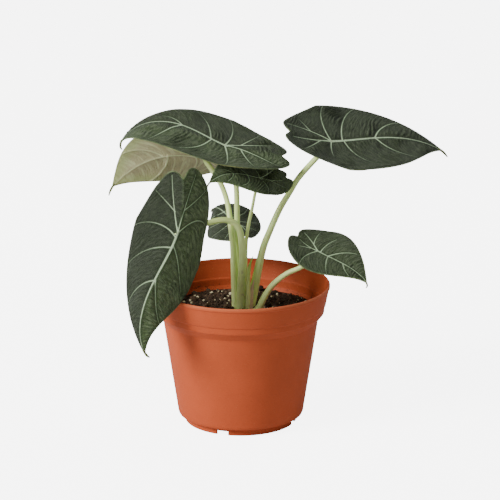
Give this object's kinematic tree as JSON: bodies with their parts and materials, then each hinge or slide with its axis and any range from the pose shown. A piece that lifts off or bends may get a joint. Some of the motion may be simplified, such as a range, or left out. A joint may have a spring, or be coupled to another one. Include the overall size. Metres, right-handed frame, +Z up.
{
  "type": "potted alocasia",
  "caption": "Compact alocasia with dark velvety pale-veined shield-shaped leaves, standing in potting mix in a round terracotta-coloured plastic nursery pot.",
  "frame": {"origin": "centre of the pot's foot, on the surface it stands on", "axes": "+Z up along the pot's axis; +Y away from the side the leaves are seen from; +X to the right"},
  "size_m": [0.2023, 0.1296, 0.1894],
  "materials": {
    "pot_plastic": "matte terracotta-coloured moulded plastic with fine speckle",
    "potting_mix": "damp dark brown crumbly peat and bark mix",
    "rhizome": "brown ringed stem base, below the mix",
    "leaf_blade": "velvety blackish green with pale green veins; pinkish tan and green underside",
    "petiole": "smooth pale green fleshy stalk, faintly mottled",
    "new_shoot": "fresh green furled leaf tip",
    "dry_sheath": "thin pinkish tan papery sheath",
    "perlite": "chalky cream grain"
  },
  "bodies": {
    "root": {"pot": "pot_plastic", "potting_mix": "potting_mix", "rhizome": "rhizome", "leaf_upper_left": "leaf_blade", "leaf_left": "leaf_blade", "leaf_front_left": "leaf_blade", "leaf_upper_right": "leaf_blade", "leaf_middle": "leaf_blade", "leaf_back": "leaf_blade", "leaf_lower_right": "leaf_blade", "petiole_upper_left": "petiole", "petiole_left": "petiole", "petiole_front_left": "petiole", "petiole_upper_right": "petiole", "petiole_middle": "petiole", "petiole_back": "petiole", "petiole_lower_right": "petiole", "new_shoot": "new_shoot", "sheath": "dry_sheath", "perlite_1": "perlite", "perlite_2": "perlite", "perlite_3": "perlite", "perlite_4": "perlite", "perlite_5": "perlite", "perlite_6": "perlite", "perlite_7": "perlite", "perlite_8": "perlite", "perlite_9": "perlite"}
  },
  "joints": []
}
